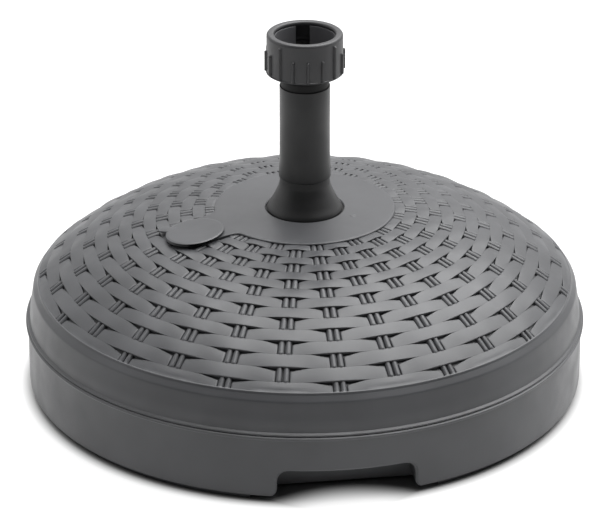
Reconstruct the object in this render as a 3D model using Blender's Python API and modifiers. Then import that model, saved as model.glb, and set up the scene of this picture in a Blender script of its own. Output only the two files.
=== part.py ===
"""A round parasol base, 500 mm across and 330 mm high, built piece by piece as it comes apart.

A hollow two-part tank takes water or sand as ballast. A flared foot runs down through the tank's
central well and is locked from below. The mast tube plugs into the foot, and a clamp nut screws
a split clamp ring down into the head of the mast tube to grip a parasol pole.

Every length below is in millimetres and is turned into metres by the helpers. The origin is on the
ground at the centre, +Z is up, and the hand holds lie at -Y and +Y.
"""

import math

import bmesh
import bpy
from mathutils import Matrix, Vector

MM = 0.001
GAP = 0.3                    # kept between neighbouring pieces that touch
WALL = 3.2                   # wall of the two shells
SHELL_STEPS = 64
TURNED_STEPS = 36
SMOOTH_ANGLE = math.radians(32)

# Tank and lid
TANK_RADIUS = 248.0
LID_RADIUS = 250.0
SEAM_HEIGHT = 66.6
LID_SHOULDER_HEIGHT = 91.6
LID_SHOULDER_RADIUS = 243.8
DOME_EDGE_RADIUS = 237.5
DOME_TOP = 165.0
DOME_DROP = 66.0             # from the dome's top to its edge
DOME_FLAT = 80.0             # inside this radius, under the centre plate, the dome is cut off flat
FLOOR_HEIGHT = 3.6           # underside of the tank's floor
STANDING_RADIUS = 239.5      # outer edge of the ring that the base stands on
STANDING_INNER = 226.0
TONGUE_RADIUS = 243.8        # the tank's rim that plugs into the lid
TONGUE_TOP = 73.0
RIB_COUNT = 8

# Hand holds in the tank's lower edge
HOLD_WIDTH = 118.0
HOLD_HEIGHT = 30.0
HOLD_BACK = 214.0            # distance of a hold's back wall from the centre
HOLD_CORNER = 10.0

# Central well, and the recess for the lock nut under it
WELL_RADIUS = 26.0
WELL_WALL = 3.0
WELL_TOP = 150.0
RECESS_RADIUS = 50.0
RECESS_HEIGHT = 24.5
COLLAR_BOTTOM = 130.0

# Centre plate
PLATE_RADIUS = 80.4
PLATE_HOLE = 34.8
PLATE_TOP = 3.2              # above the dome
SEAT_HEIGHT = 161.0          # flat seat for the gasket

# Filler neck and cap, on an axis square to the dome
CAP_DISTANCE = 107.4
CAP_AZIMUTH = -71.5
CAP_RADIUS = 26.0
CAP_UNDERSIDE = 3.5          # above the dome, along the cap's axis
CAP_THICKNESS = 2.2
NECK_RADIUS = 18.5
NECK_WALL = 3.0
NECK_LENGTH = 20.0
NECK_TOP = 2.0
LUG_RADIUS = 27.0
LUG_OFFSET = 3.0             # the lug lies this far behind the cap's radius line

# Foot, mast tube and clamp
BELL_RADIUS = 33.6
BELL_BOTTOM = 163.0
BELL_TOP = 194.8
SPIGOT_RADIUS = 25.2
FOOT_THREAD_RADIUS = 24.0
FOOT_BOTTOM = 6.5
FOOT_FLOOR = 10.0
DRAIN_RADIUS = 4.0
SOCKET_RADIUS = 21.7
PLUG_BOTTOM = 131.0
TUBE_RADIUS = 22.2
BORE_RADIUS = 19.7
TUBE_TOP = 281.0
NECKING_RADIUS = 21.2
HEAD_RADIUS = 30.4
HEAD_TOP = 309.0
NUT_RADIUS = 33.5
NUT_BOTTOM = 293.5
NUT_TOP = 329.5
NUT_CAVITY_RADIUS = 31.0
NUT_MOUTH_RADIUS = 26.6
NUT_LIP = 3.5
NUT_RIBS = 16
NUT_RIB_AZIMUTH = -48.5
RING_RADIUS = 27.0
RING_BORE = 25.0
GRIP_BORE = 19.4
RING_GAP = 12.5
RING_GAP_AZIMUTH = 175.5


def clear_scene():
    for thing in list(bpy.data.objects):
        bpy.data.objects.remove(thing, do_unlink=True)


def make_collection(name):
    collection = bpy.data.collections.new(name)
    bpy.context.scene.collection.children.link(collection)
    return collection


def make_material(name, colour, roughness):
    material = bpy.data.materials.new(name)
    material.use_nodes = True
    shader = material.node_tree.nodes["Principled BSDF"]
    shader.inputs["Base Color"].default_value = (*colour, 1.0)
    shader.inputs["Roughness"].default_value = roughness
    shader.inputs["Metallic"].default_value = 0.0
    material.diffuse_color = (*colour, 1.0)
    return material


def direction(azimuth):
    """The level direction at an azimuth in degrees: 0 is -Y, and +90 is +X."""
    angle = math.radians(azimuth)
    return Vector((math.sin(angle), -math.cos(angle), 0.0))


def dome_height(radius):
    return DOME_TOP - DOME_DROP * (max(radius, DOME_FLAT) / DOME_EDGE_RADIUS) ** 3


def dome_slope(radius):
    return 3.0 * DOME_DROP * radius**2 / DOME_EDGE_RADIUS**3


def dome_profile(radii, lift):
    return [(radius, dome_height(radius) + lift) for radius in radii]


def arc(centre, radius, start, end, count):
    """Points on an arc in a profile's plane, with the angles in degrees from +R towards +Z."""
    points = []
    for step in range(count):
        angle = math.radians(start + (end - start) * step / (count - 1))
        points.append((centre[0] + radius * math.cos(angle), centre[1] + radius * math.sin(angle)))
    return points


def add_modelled(name, mesh, collection, material=None):
    thing = bpy.data.objects.new(name, mesh)
    collection.objects.link(thing)
    if material:
        mesh.materials.append(material)
    return thing


def add_guide(name, mesh):
    guide = add_modelled(name, mesh, GUIDES)
    guide.hide_render = True
    guide.display_type = "WIRE"
    return guide


def profile_mesh(name, points):
    """A closed profile at +X, whose points run clockwise: outward, down the outside and back in."""
    mesh = bpy.data.meshes.new(name)
    vertices = [(radius * MM, 0.0, height * MM) for radius, height in points]
    edges = [(index, (index + 1) % len(points)) for index in range(len(points))]
    mesh.from_pydata(vertices, edges, [])
    return mesh


def add_screw(thing, steps):
    screw = thing.modifiers.new("turned", "SCREW")
    screw.axis = "Z"
    screw.angle = 2.0 * math.pi
    screw.steps = steps
    screw.render_steps = steps
    screw.use_merge_vertices = True
    screw.merge_threshold = 0.00001
    screw.use_normal_calculate = False


def turned_piece(name, points, material, steps=TURNED_STEPS):
    thing = add_modelled(name, profile_mesh(name, points), PARTS, material)
    add_screw(thing, steps)
    return thing


def box_guide(name, size, matrix, bevel=0.0):
    """A box of full size in millimetres under a matrix in metres. The bevel rounds its edges along Y."""
    mesh = bpy.data.meshes.new(name)
    work = bmesh.new()
    bmesh.ops.create_cube(work, size=1.0)
    bmesh.ops.scale(work, vec=Vector(size) * MM, verts=work.verts)
    if bevel:
        along_y = [edge for edge in work.edges if abs(edge.verts[0].co.y - edge.verts[1].co.y) > 1e-6]
        bmesh.ops.bevel(work, geom=along_y, offset=bevel * MM, segments=3, affect="EDGES", profile=0.5)
    work.to_mesh(mesh)
    work.free()
    guide = add_guide(name, mesh)
    guide.matrix_world = matrix
    return guide


def cylinder_guide(name, radius, bottom, top, matrix=None, steps=TURNED_STEPS):
    mesh = bpy.data.meshes.new(name)
    work = bmesh.new()
    bmesh.ops.create_cone(
        work, cap_ends=True, segments=steps, radius1=radius * MM, radius2=radius * MM,
        depth=(top - bottom) * MM, matrix=Matrix.Translation((0.0, 0.0, (top + bottom) / 2.0 * MM)),
    )
    work.to_mesh(mesh)
    work.free()
    guide = add_guide(name, mesh)
    guide.matrix_world = matrix or Matrix.Identity(4)
    return guide


def combine(thing, guide, operation):
    boolean = thing.modifiers.new(guide.name, "BOOLEAN")
    boolean.operation = operation
    boolean.object = guide
    boolean.solver = "EXACT"


def settle(thing):
    """Applies a piece's modifiers and shades it smooth between its sharp edges."""
    bpy.context.view_layer.update()
    evaluated = thing.evaluated_get(bpy.context.evaluated_depsgraph_get())
    mesh = bpy.data.meshes.new_from_object(evaluated)
    mesh.name = thing.name
    thing.modifiers.clear()
    thing.data = mesh
    mesh.shade_smooth()
    mesh.set_sharp_from_angle(angle=SMOOTH_ANGLE)
    return thing


def cap_frame():
    """The filler cap's own frame: its origin on the dome, +Z square to the dome and +X outward."""
    outward = direction(CAP_AZIMUTH)
    tilt = math.atan(dome_slope(CAP_DISTANCE))
    normal = (outward * math.sin(tilt) + Vector((0.0, 0.0, math.cos(tilt)))).normalized()
    across = normal.cross(outward).normalized()
    along = across.cross(normal)
    centre = outward * CAP_DISTANCE + Vector((0.0, 0.0, dome_height(CAP_DISTANCE)))
    rotation = Matrix((along, across, normal)).transposed().to_4x4()
    return Matrix.Translation(centre * MM) @ rotation


def turn_to(azimuth):
    """Turns a piece that points along -Y to an azimuth."""
    return Matrix.Rotation(math.radians(azimuth), 4, "Z")


def make_tank_shell(material):
    inner_wall = TANK_RADIUS - WALL
    tongue_inner = TONGUE_RADIUS - WALL
    floor_top = FLOOR_HEIGHT + WALL
    recess_top = RECESS_HEIGHT + WALL
    foot_round = arc((STANDING_RADIUS, 9.0), 8.5, 0.0, -80.0, 4)
    points = [
        (tongue_inner, TONGUE_TOP),
        (TONGUE_RADIUS, TONGUE_TOP),
        (TONGUE_RADIUS, SEAM_HEIGHT - GAP),
        (TANK_RADIUS, SEAM_HEIGHT - GAP),
        *foot_round,
        (STANDING_RADIUS, 0.0),
        (STANDING_INNER, 0.0),
        (STANDING_INNER - 3.0, FLOOR_HEIGHT),
        (RECESS_RADIUS + 3.0, FLOOR_HEIGHT),
        (RECESS_RADIUS, RECESS_HEIGHT),
        (WELL_RADIUS, RECESS_HEIGHT),
        (WELL_RADIUS, WELL_TOP),
        (WELL_RADIUS + WELL_WALL, WELL_TOP),
        (WELL_RADIUS + WELL_WALL, recess_top),
        (RECESS_RADIUS + 2.5, recess_top),
        (RECESS_RADIUS + 6.0, floor_top),
        (inner_wall - 6.0, floor_top),
        (inner_wall, floor_top + 6.0),
        (inner_wall, SEAM_HEIGHT - 8.0),
        (tongue_inner, SEAM_HEIGHT - 2.0),
    ]
    tank = turned_piece("tank_shell", points, material, SHELL_STEPS)
    for azimuth in (0.0, 180.0):
        add_hand_hold(tank, azimuth)
    for index in range(RIB_COUNT):
        add_floor_rib(tank, index)
    return settle(tank)


def add_hand_hold(tank, azimuth):
    """A pocket with its own walls, open at the outside and below."""
    skin = 3.0
    label = f"hold_{azimuth:.0f}"
    block_height = HOLD_HEIGHT + skin - FLOOR_HEIGHT
    block_depth = TANK_RADIUS + 10.0 - (HOLD_BACK - skin)
    block_centre = Vector((0.0, -(HOLD_BACK - skin + block_depth / 2.0), FLOOR_HEIGHT + block_height / 2.0))
    block = box_guide(
        label + "_block", (HOLD_WIDTH + 2.0 * skin, block_depth, block_height),
        turn_to(azimuth) @ Matrix.Translation(block_centre * MM),
    )
    trim = cylinder_guide(label + "_trim", TANK_RADIUS - 1.6, 0.0, 60.0, steps=SHELL_STEPS)
    combine(block, trim, "INTERSECT")
    combine(tank, block, "UNION")
    below = 30.0
    void_height = HOLD_HEIGHT + below
    void_depth = TANK_RADIUS + 20.0 - HOLD_BACK
    void_centre = Vector((0.0, -(HOLD_BACK + void_depth / 2.0), HOLD_HEIGHT - void_height / 2.0))
    void = box_guide(
        label + "_void", (HOLD_WIDTH, void_depth, void_height),
        turn_to(azimuth) @ Matrix.Translation(void_centre * MM), HOLD_CORNER,
    )
    combine(tank, void, "DIFFERENCE")


def add_floor_rib(tank, index):
    """A stiffening rib across the underside, between the recess and the standing ring."""
    azimuth = (index + 0.5) * 360.0 / RIB_COUNT
    start, end = RECESS_RADIUS + 14.0, STANDING_INNER - 10.0
    bottom, top = 1.2, FLOOR_HEIGHT + 1.5
    centre = Vector((0.0, -(start + end) / 2.0, (bottom + top) / 2.0))
    rib = box_guide(
        f"floor_rib_{index}", (3.0, end - start, top - bottom),
        turn_to(azimuth) @ Matrix.Translation(centre * MM),
    )
    combine(tank, rib, "UNION")


def make_top_shell(material):
    seat_radius = PLATE_HOLE + GAP
    collar_inner = WELL_RADIUS + WELL_WALL + GAP
    collar_outer = collar_inner + WELL_WALL
    dome_radii = (DOME_FLAT, 105.0, 137.0, 165.0, 190.0, 210.0, 226.0, DOME_EDGE_RADIUS)
    inner_radii = (226.0, 190.0, 145.0, 105.0, DOME_FLAT, seat_radius + 2.0)
    shoulder_radius = LID_SHOULDER_RADIUS - DOME_EDGE_RADIUS
    shoulder = arc((DOME_EDGE_RADIUS, LID_SHOULDER_HEIGHT), shoulder_radius, 66.0, 0.0, 3)
    hole = WELL_RADIUS + GAP
    points = [
        (hole, SEAT_HEIGHT),
        (seat_radius, SEAT_HEIGHT),
        (seat_radius, dome_height(seat_radius)),
        *dome_profile(dome_radii, 0.0),
        *shoulder,
        (247.4, 80.0),
        (LID_RADIUS, SEAM_HEIGHT),
        (LID_RADIUS - WALL, SEAM_HEIGHT),
        (244.2, 80.0),
        (LID_SHOULDER_RADIUS - WALL, LID_SHOULDER_HEIGHT - 0.8),
        (236.6, 95.2),
        *dome_profile(inner_radii, -WALL),
        (collar_outer, SEAT_HEIGHT - WALL),
        (collar_outer, COLLAR_BOTTOM),
        (collar_inner, COLLAR_BOTTOM),
        (collar_inner, SEAT_HEIGHT - WALL),
        (hole, SEAT_HEIGHT - WALL),
    ]
    lid = turned_piece("top_shell", points, material, SHELL_STEPS)
    neck = cylinder_guide("neck_outer", NECK_RADIUS + NECK_WALL, -NECK_LENGTH, NECK_TOP, CAP_FRAME)
    bore = cylinder_guide("neck_bore", NECK_RADIUS, -NECK_LENGTH - 10.0, NECK_TOP + 10.0, CAP_FRAME)
    combine(lid, neck, "UNION")
    combine(lid, bore, "DIFFERENCE")
    return settle(lid)


def plate_radius(azimuth):
    """The centre plate's outline: a disc and a lug under the filler cap, with hollow fillets between."""
    lug_centre = direction(CAP_AZIMUTH) * CAP_DISTANCE - direction(CAP_AZIMUTH + 90.0) * LUG_OFFSET
    lug_azimuth = math.degrees(math.atan2(lug_centre.x, -lug_centre.y))
    away = math.radians((azimuth - lug_azimuth + 180.0) % 360.0 - 180.0)
    sideways = abs(math.sin(away)) * lug_centre.length
    if math.cos(away) <= 0.0:
        return PLATE_RADIUS
    if sideways < LUG_RADIUS:
        lug = math.cos(away) * lug_centre.length + math.sqrt(LUG_RADIUS**2 - sideways**2)
    else:
        lug = LUG_RADIUS / abs(math.sin(away))
    fillet = 4.0
    blend = math.exp((lug - PLATE_RADIUS) / fillet)
    return PLATE_RADIUS + fillet * math.log(1.0 + blend)


def plate_azimuths():
    """Even steps round the disc, with finer ones where the lug stands out."""
    coarse = [CAP_AZIMUTH + 36.0 + 6.0 * step for step in range(49)]
    fine = [CAP_AZIMUTH - 34.0 + 2.0 * step for step in range(35)]
    return coarse + fine


def make_centre_plate(material):
    curve = bpy.data.curves.new("plate_outline", "CURVE")
    curve.dimensions = "2D"
    curve.fill_mode = "BOTH"
    curve.extrude = 30.0 * MM
    azimuths = plate_azimuths()
    spline = curve.splines.new("POLY")
    spline.points.add(len(azimuths) - 1)
    for point, azimuth in zip(spline.points, azimuths):
        place = direction(azimuth) * plate_radius(azimuth) * MM
        point.co = (place.x, place.y, 0.0, 1.0)
    spline.use_cyclic_u = True
    outline = bpy.data.objects.new("plate_outline", curve)
    GUIDES.objects.link(outline)
    outline.location.z = 155.0 * MM
    prism = curve_to_guide(outline)

    radii = (PLATE_HOLE, DOME_FLAT, 105.0, 125.0, 145.0)
    points = dome_profile(radii, PLATE_TOP) + dome_profile(radii[::-1], GAP)
    plate = turned_piece("centre_plate", points, material, SHELL_STEPS)
    combine(plate, prism, "INTERSECT")
    neck_hole = cylinder_guide("plate_neck_hole", NECK_RADIUS + NECK_WALL + 0.8, -20.0, 20.0, CAP_FRAME)
    combine(plate, neck_hole, "DIFFERENCE")
    return settle(plate)


def curve_to_guide(outline):
    """Replaces a filled curve with a closed mesh of the same shape."""
    bpy.context.view_layer.update()
    evaluated = outline.evaluated_get(bpy.context.evaluated_depsgraph_get())
    mesh = bpy.data.meshes.new_from_object(evaluated)
    work = bmesh.new()
    work.from_mesh(mesh)
    bmesh.ops.remove_doubles(work, verts=work.verts, dist=0.000001)
    bmesh.ops.recalc_face_normals(work, faces=work.faces)
    work.to_mesh(mesh)
    work.free()
    guide = add_guide(outline.name + "_solid", mesh)
    guide.matrix_world = outline.matrix_world.copy()
    bpy.data.objects.remove(outline, do_unlink=True)
    return guide


def make_filler_cap(material, seal_material):
    """The cap is a thin disc over a hollow push-in plug, with a small tab to pull it by."""
    plug_radius = NECK_RADIUS - GAP
    plug_wall = 2.2
    plug_bottom = -12.0
    top = CAP_UNDERSIDE + CAP_THICKNESS
    points = [
        (0.001, top),
        (CAP_RADIUS - 1.2, top - 0.3),
        (CAP_RADIUS, top - 1.3),
        (CAP_RADIUS, CAP_UNDERSIDE),
        (plug_radius, CAP_UNDERSIDE),
        (plug_radius, plug_bottom + 2.0),
        (plug_radius - 0.8, plug_bottom),
        (plug_radius - plug_wall, plug_bottom),
        (plug_radius - plug_wall, CAP_UNDERSIDE),
        (0.001, CAP_UNDERSIDE),
    ]
    cap = turned_piece("filler_cap", points, material)
    cap.matrix_world = CAP_FRAME
    tab_azimuth = -25.0      # from the cap's outward direction
    tab = box_guide(
        "cap_tab", (14.0, 9.0, CAP_THICKNESS - 0.7),
        CAP_FRAME @ Matrix.Rotation(math.radians(tab_azimuth), 4, "Z")
        @ Matrix.Translation(Vector((CAP_RADIUS, 0.0, CAP_UNDERSIDE + 0.95)) * MM),
    )
    combine(cap, tab, "UNION")
    settle(cap)

    washer = [
        (NECK_RADIUS + GAP, CAP_UNDERSIDE - GAP),
        (NECK_RADIUS + NECK_WALL - 0.2, CAP_UNDERSIDE - GAP),
        (NECK_RADIUS + NECK_WALL - 0.2, NECK_TOP + GAP),
        (NECK_RADIUS + GAP, NECK_TOP + GAP),
    ]
    seal = turned_piece("filler_cap_seal", washer, seal_material)
    seal.matrix_world = CAP_FRAME
    settle(seal)


def make_mast_foot(material):
    points = [
        (SOCKET_RADIUS, BELL_TOP),
        (22.6, BELL_TOP),
        (22.9, BELL_TOP - 0.8),
        (BELL_RADIUS - 0.6, 170.0),
        (BELL_RADIUS, 166.0),
        (BELL_RADIUS, BELL_BOTTOM),
        (SPIGOT_RADIUS, BELL_BOTTOM),
        (SPIGOT_RADIUS, 134.0),
        (FOOT_THREAD_RADIUS, 131.0),
        (FOOT_THREAD_RADIUS, FOOT_BOTTOM + 1.0),
        (FOOT_THREAD_RADIUS - 1.0, FOOT_BOTTOM),
        (DRAIN_RADIUS, FOOT_BOTTOM),
        (DRAIN_RADIUS, FOOT_FLOOR),
        (BORE_RADIUS + 0.5, FOOT_FLOOR),
        (BORE_RADIUS + 0.5, PLUG_BOTTOM - 3.0),
        (SOCKET_RADIUS, PLUG_BOTTOM - 0.5),
    ]
    return settle(turned_piece("mast_foot", points, material))


def make_foot_gasket(material):
    top, bottom = BELL_BOTTOM - GAP, SEAT_HEIGHT + GAP
    inner, outer = WELL_RADIUS + 0.6, PLATE_HOLE - 0.1
    points = [(inner, top), (outer, top), (outer, bottom), (inner, bottom)]
    return settle(turned_piece("foot_gasket", points, material))


def make_foot_locknut(material, washer_material):
    """A flanged ring with eight lugs, and the washer between it and the tank."""
    bore = FOOT_THREAD_RADIUS + GAP
    top, bottom = 22.0, 8.5
    points = [(bore, top), (38.0, top), (38.0, top - 3.0), (32.0, top - 4.5), (32.0, bottom), (bore, bottom)]
    nut = turned_piece("foot_locknut", points, material)
    for index in range(8):
        centre = Vector((0.0, -33.0, (top - 2.0 + bottom) / 2.0))
        lug = box_guide(
            f"locknut_lug_{index}", (5.0, 7.0, top - 2.0 - bottom - 1.0),
            turn_to(45.0 * index) @ Matrix.Translation(centre * MM),
        )
        combine(nut, lug, "UNION")
    settle(nut)

    washer_top = RECESS_HEIGHT - GAP
    washer = [(bore, washer_top), (39.0, washer_top), (39.0, top + GAP), (bore, top + GAP)]
    settle(turned_piece("locknut_washer", washer, washer_material))


def make_mast_tube(material):
    """The tube, with a plug below and a head above that flares out to carry the nut's thread."""
    shoulder = BELL_TOP + GAP
    plug_radius = SOCKET_RADIUS - GAP
    flare_start = 287.5
    points = [
        (HEAD_RADIUS - 2.6, HEAD_TOP),
        (HEAD_RADIUS - 0.6, HEAD_TOP),
        (HEAD_RADIUS, HEAD_TOP - 0.8),
        (HEAD_RADIUS, flare_start + HEAD_RADIUS - NECKING_RADIUS),
        (NECKING_RADIUS, flare_start),
        (NECKING_RADIUS, TUBE_TOP),
        (TUBE_RADIUS - 0.3, TUBE_TOP),
        (TUBE_RADIUS, TUBE_TOP - 0.6),
        (TUBE_RADIUS, shoulder + 25.0),
        (TUBE_RADIUS + 0.6, shoulder + 5.0),
        (TUBE_RADIUS + 0.6, shoulder),
        (plug_radius, shoulder),
        (plug_radius, PLUG_BOTTOM + 1.0),
        (plug_radius - 0.7, PLUG_BOTTOM),
        (BORE_RADIUS, PLUG_BOTTOM),
        (BORE_RADIUS, 291.0),
        (HEAD_RADIUS - 2.6, 304.0),
    ]
    return settle(turned_piece("mast_tube", points, material))


def make_clamp_ring(material):
    """A split ring: a flange under the nut's lip, a wall, and a tapered skirt that closes on the pole."""
    flange_top = NUT_TOP - NUT_LIP - GAP
    flange_radius = NUT_CAVITY_RADIUS - 0.8
    points = [
        (RING_BORE, flange_top),
        (flange_radius, flange_top),
        (flange_radius, flange_top - 3.0),
        (RING_RADIUS, flange_top - 3.0),
        (RING_RADIUS, 306.2),
        (21.5, 297.4),
        (GRIP_BORE, 297.4),
        (GRIP_BORE, 300.0),
        (RING_BORE, 309.0),
    ]
    ring = turned_piece("clamp_ring", points, material)
    reach = NUT_CAVITY_RADIUS + 5.0
    centre = Vector((0.0, -reach / 2.0, 312.0))
    split = box_guide(
        "ring_split", (RING_GAP, reach, 60.0),
        turn_to(RING_GAP_AZIMUTH) @ Matrix.Translation(centre * MM),
    )
    combine(ring, split, "DIFFERENCE")
    return settle(ring)


def make_clamp_nut(material):
    """A hand nut: every fourth grip rib is a long one."""
    rim = arc((NUT_RADIUS - 3.0, NUT_TOP - 3.0), 3.0, 90.0, 0.0, 4)
    points = [
        (NUT_MOUTH_RADIUS, NUT_TOP - 1.2),
        (NUT_MOUTH_RADIUS + 1.4, NUT_TOP),
        *rim,
        (NUT_RADIUS, NUT_BOTTOM + 1.0),
        (NUT_RADIUS - 0.6, NUT_BOTTOM),
        (NUT_CAVITY_RADIUS, NUT_BOTTOM),
        (NUT_CAVITY_RADIUS, NUT_TOP - NUT_LIP),
        (NUT_MOUTH_RADIUS, NUT_TOP - NUT_LIP),
    ]
    nut = turned_piece("clamp_nut", points, material)
    for index in range(NUT_RIBS):
        top = 325.5 if index % 4 == 0 else 314.3
        bottom = NUT_BOTTOM + 0.8
        azimuth = NUT_RIB_AZIMUTH + index * 360.0 / NUT_RIBS
        centre = Vector((0.0, -(NUT_RADIUS + 0.4), (top + bottom) / 2.0))
        rib = box_guide(
            f"nut_rib_{index}", (3.0, 3.2, top - bottom),
            turn_to(azimuth) @ Matrix.Translation(centre * MM),
        )
        combine(nut, rib, "UNION")
    return settle(nut)


clear_scene()
PARTS = make_collection("parasol_base")
GUIDES = make_collection("cutters")
CAP_FRAME = cap_frame()

anthracite = make_material("anthracite_plastic", (0.105, 0.107, 0.112), 0.48)
black_plastic = make_material("black_plastic", (0.028, 0.028, 0.029), 0.45)
nut_plastic = make_material("nut_plastic", (0.060, 0.060, 0.062), 0.45)
black_rubber = make_material("black_rubber", (0.012, 0.012, 0.012), 0.8)

make_tank_shell(anthracite)
make_top_shell(anthracite)
make_centre_plate(anthracite)
make_filler_cap(anthracite, black_rubber)
make_mast_foot(black_plastic)
make_foot_gasket(black_rubber)
make_foot_locknut(black_plastic, black_rubber)
make_mast_tube(black_plastic)
make_clamp_ring(nut_plastic)
make_clamp_nut(nut_plastic)
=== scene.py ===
"""The looks of a round parasol base: a ballast tank under a lid moulded as basket weave, a centre
plate with a filler cap, a flared foot, a mast tube, and a clamp nut over a split ring.

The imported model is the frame. Lengths are in millimetres up to the mesh helpers, which turn them
into metres. An azimuth of 0 is -Y and +90 is +X, and heights are above the ground.
"""

import math

import bmesh
import bpy
import numpy as np
from mathutils import Matrix, Vector


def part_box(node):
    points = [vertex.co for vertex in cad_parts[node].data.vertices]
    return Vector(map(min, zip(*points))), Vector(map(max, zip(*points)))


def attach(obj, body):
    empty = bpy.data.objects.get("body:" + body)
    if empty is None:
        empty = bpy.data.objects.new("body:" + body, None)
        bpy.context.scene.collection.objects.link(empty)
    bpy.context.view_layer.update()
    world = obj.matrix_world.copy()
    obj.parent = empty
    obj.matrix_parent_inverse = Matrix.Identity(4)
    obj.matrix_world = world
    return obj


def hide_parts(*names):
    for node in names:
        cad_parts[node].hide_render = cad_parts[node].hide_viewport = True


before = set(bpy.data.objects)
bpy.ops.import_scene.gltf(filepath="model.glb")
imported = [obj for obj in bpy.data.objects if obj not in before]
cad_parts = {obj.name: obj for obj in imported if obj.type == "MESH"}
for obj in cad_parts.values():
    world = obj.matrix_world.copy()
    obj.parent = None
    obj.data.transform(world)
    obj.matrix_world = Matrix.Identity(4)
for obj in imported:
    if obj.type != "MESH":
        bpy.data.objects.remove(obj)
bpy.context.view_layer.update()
MM = 0.001


def node_box(name):
    """A node's lowest and highest corners in millimetres."""
    low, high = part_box(name)
    return low / MM, high / MM


def node_radius(name):
    low, high = node_box(name)
    return (high.x - low.x) / 2.0


# Sizes read from the frame
LID_RADIUS = node_radius("top_shell")
TANK_RADIUS = node_radius("tank_shell")
TUBE_TOP = node_box("mast_tube")[1].z
BELL_RADIUS = node_radius("mast_foot")
BELL_TOP = node_box("mast_foot")[1].z
FOOT_BOTTOM = node_box("mast_foot")[0].z
PLUG_BOTTOM = node_box("mast_tube")[0].z
NUT_BOTTOM = node_box("clamp_nut")[0].z
NUT_TOP = node_box("clamp_nut")[1].z
RING_TOP = node_box("clamp_ring")[1].z
RING_BOTTOM = node_box("clamp_ring")[0].z

LID_BOTTOM = 63.8            # the seam's height

# The dome that the lid, its weave and the centre plate follow
DOME_EDGE = 237.5
DOME_TOP = 165.0
DOME_DROP = 66.0
DOME_FLAT = 80.0             # inside this radius the dome is cut off flat

# Weave
RING_PITCH = 10.85
RING_COUNT = 15
FIRST_SEAM = 230.0           # between the outermost ring of strands and the next
SPANS = 15                   # strands, and pairs of rods, in each ring
PAIR_AZIMUTH = -1.2          # of a pair in the odd rings; the even rings lie half a span further
WEAVE_FLOOR = -2.9           # the lid's surface under the weave, from the dome
RIM_LAND = 237.2             # where the weave stops against the lid's edge

# Centre plate, filler neck and cap
PLATE_RADIUS = 80.4
PLATE_HOLE = 34.8
PLATE_TOP = 1.9
SEAT_HEIGHT = 161.0
CAP_DISTANCE = 107.4
CAP_AZIMUTH = -71.5
CAP_RADIUS = 26.0
CAP_UNDERSIDE = 2.6
CAP_THICKNESS = 1.8
CAP_LEVEL = 0.063            # how much the cap and its seat rise towards the front, against the dome
CAP_LEVEL_AZIMUTH = -28.0
NECK_RADIUS = 18.5
NECK_WALL = 3.0
LUG_RADIUS = 24.8
LUG_OFFSET = 3.0

# Mast and clamp
TUBE_RADIUS = 22.2
BORE_RADIUS = 19.7
SOCKET_RADIUS = 21.7
NECKING_TOP = 281.0          # the tube is full size below this and necked above it
HEAD_RADIUS = 30.4
NUT_RADIUS = 33.5
NUT_MOUTH = 26.6
NUT_CAVITY = 31.0
THREAD_PITCH = 4.0
RING_GAP = 12.5
RING_GAP_AZIMUTH = 175.5

# Tank
WALL = 3.2
TANK_FLOOR = 3.2             # the floor's underside, above the ground
STANDING_INNER = 226.0       # inside radius of the standing ring
LIP_RADIUS = 239.6           # inside radius of the lip that runs up into the lid
LIP_TOP = 73.0
WELL_RADIUS = 26.0           # bore of the well tube, which the foot's spigot runs down
WELL_TOP = 150.0

# Hand holds
HOLD_WIDTH = 118.0
HOLD_HEIGHT = 30.0
HOLD_BACK = 214.0
HOLD_CORNER = 10.0
HOLD_SPLAY = 22.0            # how far the low cut at the mouth's foot runs out to each side
HOLD_FOOT = 4.7              # height of that cut
HOLD_FOOT_ROUND = 9.5
HOLD_EDGE_ROUND = 2.6        # round of the mouth's edge on the tank's face

# Light: a surround that is dimmer in front, a soft box above, and a floor that glows but for a painted contact
# shadow
FRONT_GLOW = 0.02
FRONT_EDGE = -0.55
SIDE_EDGE = 0.15
SIDE_GLOW = 0.95
SOFTBOX_DIRECTION = (0.30, 0.22, 0.92)
SOFTBOX_EDGE = 0.72
SOFTBOX_CORE = 0.93
SOFTBOX_GLOW = 6.0
FLOOR_GLOW = 0.75
FAR_FLOOR_GLOW = 0.05
FLOOR_COLOUR = (0.30, 0.30, 0.30, 1.0)
WHITE = (1.0, 1.0, 1.0, 1.0)

# Floor glow in metres: a centre, and the distances from it between which the glow changes
# A painted contact shadow: no glow close to the base.
SHADOW_FADE = ((0.0, 0.0, 0.0), 0.2425, 0.259)
# Painted light: glow on the floor in the front hand hold's mouth.
HOLD_PAINTED_LIGHT_FADE = ((0.0, -0.335, 0.0), 0.083, 0.121)
FAR_FADE = ((0.03, 0.22, 0.0), 0.66, 1.2)

# Camera, in degrees, metres and millimetres of lens
CAMERA_AZIMUTH = -8.5
CAMERA_ELEVATION = 25.61
CAMERA_DISTANCE = 3.1265
PIVOT_HEIGHT = 0.0625
AIM_HEIGHT = 0.11
AIM_LEFT = 0.0042
LENS = 208.2


# ---------------------------------------------------------------- geometry helpers

def direction(azimuth):
    angle = math.radians(azimuth)
    return Vector((math.sin(angle), -math.cos(angle), 0.0))


def dome(radius):
    return DOME_TOP - DOME_DROP * (np.maximum(radius, DOME_FLAT) / DOME_EDGE) ** 3


def dome_slope(radius):
    return 3.0 * DOME_DROP * radius**2 / DOME_EDGE**3


def dome_run(start, end, count, lift):
    """Profile points along the dome, without fillets."""
    return [(radius, dome(radius) + lift, 0.0) for radius in np.linspace(start, end, count)]


def smoothstep(low, high, value):
    share = np.clip((value - low) / (high - low), 0.0, 1.0)
    return share * share * (3.0 - 2.0 * share)


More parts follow.
